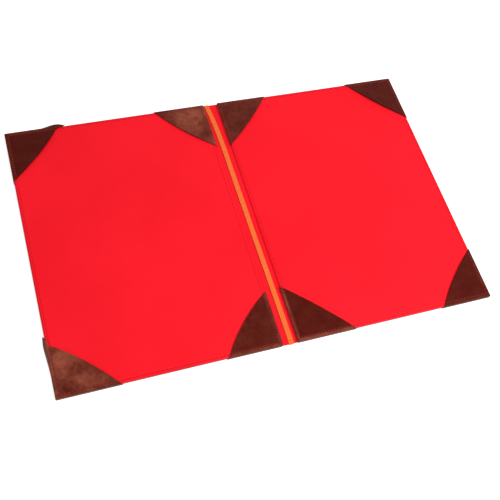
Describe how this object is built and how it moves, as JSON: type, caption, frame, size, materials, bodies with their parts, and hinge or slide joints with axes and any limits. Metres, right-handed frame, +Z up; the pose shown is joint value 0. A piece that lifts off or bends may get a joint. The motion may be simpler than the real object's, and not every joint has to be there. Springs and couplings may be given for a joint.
{
  "type": "diploma cover",
  "caption": "Diploma cover lying open: stiff sewn red leatherette panels joined by a soft spine with an orange ribbon, and brown leather corner pockets that hold A4 sheets.",
  "frame": {"origin": "on the table, under the middle of the spine", "axes": "+X to the right panel, +Y to the head of the cover, +Z up from the table"},
  "size_m": [0.4728, 0.3102, 0.0053],
  "materials": {
    "red_leatherette": "fine-grained bright red artificial leather, semi-matt",
    "brown_leather": "dark brown pull-up leather, satin, mottled where it bends",
    "orange_ribbon": "narrow woven ribbon, slight sheen",
    "grey_board": "raw grey binder's board"
  },
  "bodies": {
    "right_panel": {"right_cover": "red_leatherette", "right_board": "grey_board", "right_lining": "red_leatherette", "right_head_outer_pocket": "brown_leather", "right_head_spine_pocket": "brown_leather", "right_tail_outer_pocket": "brown_leather", "right_tail_spine_pocket": "brown_leather"},
    "spine": {"spine_cover": "red_leatherette", "spine_lining": "red_leatherette", "ribbon": "orange_ribbon"},
    "left_panel": {"left_cover": "red_leatherette", "left_board": "grey_board", "left_lining": "red_leatherette", "left_head_outer_pocket": "brown_leather", "left_head_spine_pocket": "brown_leather", "left_tail_outer_pocket": "brown_leather", "left_tail_spine_pocket": "brown_leather"}
  },
  "joints": [
    {"name": "right_crease", "type": "hinge", "parent": "right_panel", "child": "spine", "pos_m": [0.0066, 0, 0.0016], "axis": [0, 1, 0], "range_deg": [0, 90]},
    {"name": "left_crease", "type": "hinge", "parent": "spine", "child": "left_panel", "pos_m": [-0.0066, 0, 0.0016], "axis": [0, 1, 0], "range_deg": [0, 90]}
  ]
}
